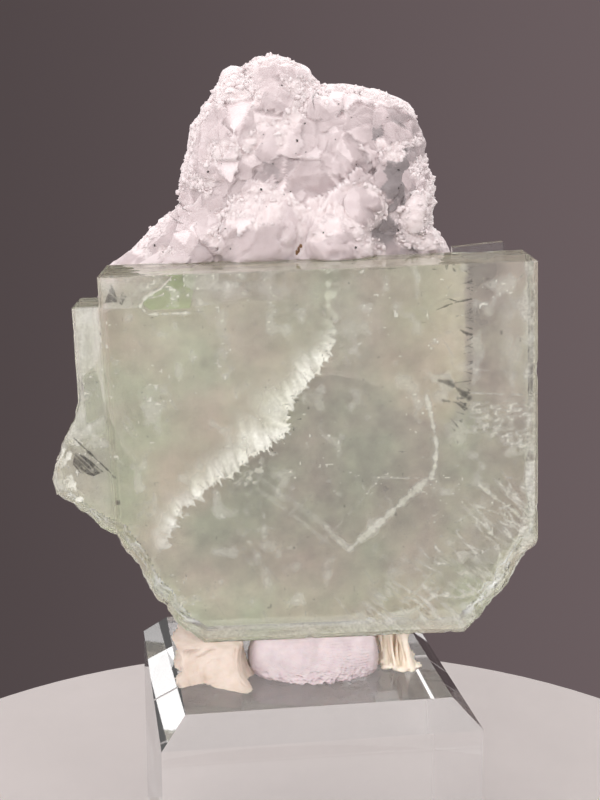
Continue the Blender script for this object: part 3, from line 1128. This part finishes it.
def crust(material, frosting, black, brown):
    """The crust with grains of frosting and small specks on it."""
    rng = np.random.default_rng(SEED)
    body, triangles, tone, cover = crust_surface(rng)
    piece = mesh_piece("crust", body, triangles, material, "crust", tone=tone, frost=cover)
    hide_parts("crystal_crust")
    tree = BVHTree.FromPolygons(body.tolist(), triangles.tolist())
    unit, unit_faces = ball(2)

    def lump(at, size):
        shape = unit * rng.uniform(0.55, 1.45, 3) * size
        return shape * (1 + 0.55 * fractal(unit * 1.5 + at * 3.1, 2, 110))[:, None] + at

    def lumps_piece(name, lumps, look):
        faces = np.vstack([unit_faces + len(unit) * i for i in range(len(lumps))])
        mesh_piece(name, np.vstack(lumps), faces, look, "crust")

    def on_front(x, z):
        return tree.ray_cast(Vector((x, -20.0, z)), Vector((0.0, 1.0, 0.0)))[0]

    normals = point_normals(body, triangles)
    frosted = (cover > 0.35) & ((body[:, 1] > DEPTH + 1.0) | (body[:, 2] > TOP + 0.4))
    ahead = (body[:, 1] < 18.0) & (body[:, 2] > TOP)
    grains = []
    for chosen, number in ((frosted & ahead, FRONT_GRAINS), (frosted & ~ahead, OTHER_GRAINS)):
        for i in rng.choice(np.nonzero(chosen)[0], number, replace=False):
            size = 0.13 + 0.26 * rng.random() ** 2
            grains.append(clear_of_fluorite(lump(body[i] - normals[i] * size * 0.45, size)))
    lumps_piece("crust_frosting", grains, frosting)

    specks = []
    extra = [(rng.uniform(-20, 13), rng.uniform(49, 72)) for _ in range(EXTRA_SPECKS)]
    for x, z in SPECKS + extra:
        hit = on_front(x, z)
        if hit is not None and hit.y < 24:
            size = rng.uniform(0.07, 0.16) if (x, z) in SPECKS else rng.uniform(0.05, 0.09)
            specks.append(lump(np.array(hit), size))
    lumps_piece("crust_specks", specks, black)
    brown_lumps = [lump(np.array(on_front(x, z)), BROWN_SIZE) for x, z in BROWN_SPECKS]
    lumps_piece("crust_brown_speck", brown_lumps, brown)


def underside(x):
    """The height of the fluorite's underside over the floor, in millimetres."""
    return SPECIMEN_PLACE[2] + (x - SPECIMEN_PLACE[0]) * math.tan(math.radians(-SPECIMEN_LEAN))


def pad(name, foot, head, ridges, material, bulge, flare):
    """A lump of tack lofted from its foot to its head. ridges moves its side in or out.

    bulge widens it at half height, and flare holds how much and how high it widens at its foot.
    """
    foot_middle, head_middle = np.mean(foot, 0), np.mean(head, 0)
    turns = np.arange(TACK_SIDES) * math.tau / TACK_SIDES - math.pi
    low, high = radial(foot, foot_middle, turns), radial(head, head_middle, turns)
    for _ in range(3):
        low = (np.roll(low, 1) + 2 * low + np.roll(low, -1)) / 4
        high = (np.roll(high, 1) + 2 * high + np.roll(high, -1)) / 4
    points = []
    for level in range(TACK_LEVELS):
        t = level / (TACK_LEVELS - 1)
        middle = foot_middle + (head_middle - foot_middle) * t
        wider = flare[0] * math.exp(-t / flare[1])
        radius = (low + (high - low) * t ** 0.8) * (1 + bulge * math.sin(math.pi * t) + wider)
        x = middle[0] + radius * np.cos(turns)
        y = middle[1] + radius * np.sin(turns)
        push = ridges(turns * radius, t, columns(x, y, t * 5.0))
        x, y = x + push * np.cos(turns), y + push * np.sin(turns)
        rise = underside(x) - 0.05 - BASE_TOP
        points.append(columns(x, y, BASE_TOP + rise * t + 0.01))
    return mesh_piece(name, np.vstack(points), tube(TACK_LEVELS, TACK_SIDES), material, "tack", local=False)


def pad_ridges(along, t, p):
    """Fine wavy ridges that slant across the pad, and a cellular lower rim."""
    warp = 0.5 * fractal(p * 0.5, 2, 130)
    wave = np.sin((along * 0.55 + p[:, 2] * 1.5 + warp) * math.tau / 0.55)
    cells = np.abs(fractal(p * 2.2, 2, 131)) * math.exp(-t / 0.22)
    return 0.07 * wave * smooth(0.05, 0.3, t) - 0.7 * cells + 0.12 * fractal(p * 0.5, 3, 132)


def stretch_ridges(along, t, p):
    """Upright striations, as on tack that was pulled."""
    lines = fractal(columns(along * 2.3, t * 0.9, 0.0), 4, 140)
    folds = fractal(columns(along * 0.5, t * 0.6, 0.0), 2, 141)
    return 0.22 * lines + 0.45 * folds


def strands(material):
    """The stretched strands at the right and their torn foot."""
    rng = np.random.default_rng(SEED + 5)
    points = []
    faces = []
    sides = np.arange(STRAND_SIDES)
    angles = math.tau * sides / STRAND_SIDES
    strand = tube(STRAND_LEVELS, STRAND_SIDES)
    strand_points = STRAND_LEVELS * STRAND_SIDES
    for i in range(STRANDS):
        x0 = 10.4 + 3.4 * (i % 8) / 7 + rng.normal(0, 0.12)
        y0 = -7.4 + 3.6 * rng.random()
        x1 = x0 - 0.5 + rng.normal(0, 0.3)
        y1 = min(y0 + 1.4, -5.4 + 4 * rng.random())
        rise = underside(x1) - 0.02 - BASE_TOP
        wide = rng.uniform(0.2, 0.5)
        faces.extend([[i * strand_points + k for k in f] for f in strand])
        for t in np.linspace(0.0, 1.0, STRAND_LEVELS):
            thick = wide * (0.75 + 1.1 * (abs(t - 0.5) * 2) ** 2.5)
            reach = thick * (1 + 0.25 * np.sin(7 * t + sides * 2.1 + i))
            x = x0 + (x1 - x0) * t + 0.25 * math.sin(3 * t + i) + np.cos(angles) * reach
            y = y0 + (y1 - y0) * t + np.sin(angles) * reach
            points.append(columns(x, y, BASE_TOP + rise * t))
    unit, unit_faces = ball(3)
    for i in range(TORN_LUMPS):
        at = np.array([rng.uniform(10.2, 14.2), rng.uniform(-7.9, -2.0), BASE_TOP + 0.25])
        size = np.array([rng.uniform(0.4, 1.1), rng.uniform(0.4, 0.9), rng.uniform(0.2, 0.6)])
        shape = unit * size * (1 + 0.35 * fractal(unit * 2.2 + i, 3, 150))[:, None] + at
        shape[:, 2] = np.maximum(shape[:, 2], BASE_TOP + 0.01)
        points.append(shape)
        faces.extend((unit_faces + STRANDS * strand_points + i * len(unit)).tolist())
    piece = mesh_piece("tack_strands", np.vstack(points), faces, material, "tack", local=False)
    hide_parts("tack_right")


def stage(material):
    """A plain round floor."""
    maker = bmesh.new()
    bmesh.ops.create_circle(maker, cap_ends=True, radius=FLOOR_RADIUS, segments=96)
    mesh = bpy.data.meshes.new("floor")
    maker.to_mesh(mesh)
    maker.free()
    mesh.materials.append(material)
    floor = placed("floor", mesh)
    floor.location.z = -FLOOR_GAP


def area_light(name, place, size, watts):
    """A soft light aimed at the specimen, unseen through clear pieces."""
    data = bpy.data.lights.new(name, "AREA")
    data.shape = "RECTANGLE"
    data.size, data.size_y = size
    data.energy = watts
    obj = placed(name, data)
    obj.visible_transmission = False
    obj.location = place
    obj.rotation_euler = (Vector(LIGHTS_MEET) - Vector(place)).to_track_quat("-Z", "Y").to_euler()


def surroundings():
    """A taupe wall behind, darker to the left, in a pale room that is brightest in front, up and left."""
    world = bpy.data.worlds.new("room")
    bpy.context.scene.world = world
    world.use_nodes = True
    nodes, links = world.node_tree.nodes, world.node_tree.links
    direction = nodes.new("ShaderNodeTexCoord").outputs["Generated"]

    def share(toward, start, end):
        dot = nodes.new("ShaderNodeVectorMath")
        dot.operation = "DOT_PRODUCT"
        links.new(direction, dot.inputs[0])
        dot.inputs[1].default_value = toward
        node = nodes.new("ShaderNodeMapRange")
        node.interpolation_type = "SMOOTHSTEP"
        links.new(dot.outputs["Value"], node.inputs["Value"])
        node.inputs["From Min"].default_value = start
        node.inputs["From Max"].default_value = end
        return node.outputs["Result"]

    def mix(factor, first, second):
        node = nodes.new("ShaderNodeMix")
        node.data_type = "RGBA"
        links.new(factor, node.inputs["Factor"])
        for socket, value in ((node.inputs[6], first), (node.inputs[7], second)):
            if isinstance(value, tuple):
                socket.default_value = (*value, 1)
            else:
                links.new(value, socket)
        return node.outputs[2]

    wall = mix(share((1.0, 0.0, 0.0), -0.2, 0.5), WALL_LEFT, WALL_RIGHT)
    room = mix(share(BRIGHT_SIDE, -0.6, 0.95), ROOM_DIM, ROOM_BRIGHT)
    links.new(mix(share(LOOKING, 0.76, 0.945), room, wall), nodes["Background"].inputs["Color"])


def camera():
    """The camera that took the photograph, as solved from the block's corners."""
    data = bpy.data.cameras.new("camera")
    data.sensor_fit = "VERTICAL"
    data.sensor_height = 36.0
    data.lens = CAMERA_LENS
    data.clip_start = 0.01
    obj = placed("camera", data)
    obj.location = CAMERA_PLACE
    obj.rotation_euler = (math.radians(90 - CAMERA_DOWN), 0.0, math.radians(CAMERA_TURN))
    bpy.context.scene.camera = obj


def main():
    scene = bpy.context.scene
    scene.view_settings.view_transform = "Standard"
    scene.cycles.max_bounces = 16
    scene.cycles.transmission_bounces = 14
    scene.cycles.transparent_max_bounces = 24
    scene.cycles.diffuse_bounces = 6
    scene.cycles.denoising_input_passes = "RGB_ALBEDO"
    scene.cycles.sampling_pattern = "TABULATED_SOBOL"
    camera()
    area_light("key", place=(-0.28, -0.42, 0.52), size=(0.5, 0.4), watts=1.0)
    area_light("back", place=(0.2, 0.3, 0.62), size=(0.5, 0.3), watts=1.4)
    surroundings()
    stage(plain_material("floor", colour(176, 168, 166)))

    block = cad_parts["base_block"].data
    block.materials.clear()
    block.materials.append(clear_material(
        "clear acrylic", ior=1.49, roughness=0.015, tint=(0.97, 0.96, 0.95), density=2.0,
        grain=40.0, relief=0.02,
    ))
    fluorite(clear_material(
        "clear fluorite", ior=1.434, roughness=0.03, tint=(0.80, 0.88, 0.62), density=9.0,
        grain=900.0, relief=0.04,
    ))
    black = plain_material("black specks", colour(46, 42, 40))
    brown = plain_material("brown speck", colour(120, 84, 52))
    crust(crust_material(), frost_material(), black, brown)

    cream = tack_material("cream tack", colour(216, 200, 189), colour(202, 184, 170))
    lilac = tack_material("white tack", colour(214, 200, 201), colour(200, 184, 187))
    pulled = pad(
        "tack_pulled", TACK_LEFT_FOOT, TACK_LEFT_HEAD, stretch_ridges, cream, bulge=-0.10, flare=(0.10, 0.06)
    )
    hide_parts("tack_left")
    pressed = pad(
        "tack_pad", TACK_MIDDLE_FOOT, TACK_MIDDLE_HEAD, pad_ridges, lilac, bulge=0.03, flare=(-0.05, 0.1)
    )
    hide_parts("tack_middle")
    strands(tack_material("stretched tack", colour(248, 236, 221), colour(238, 222, 204)))


main()
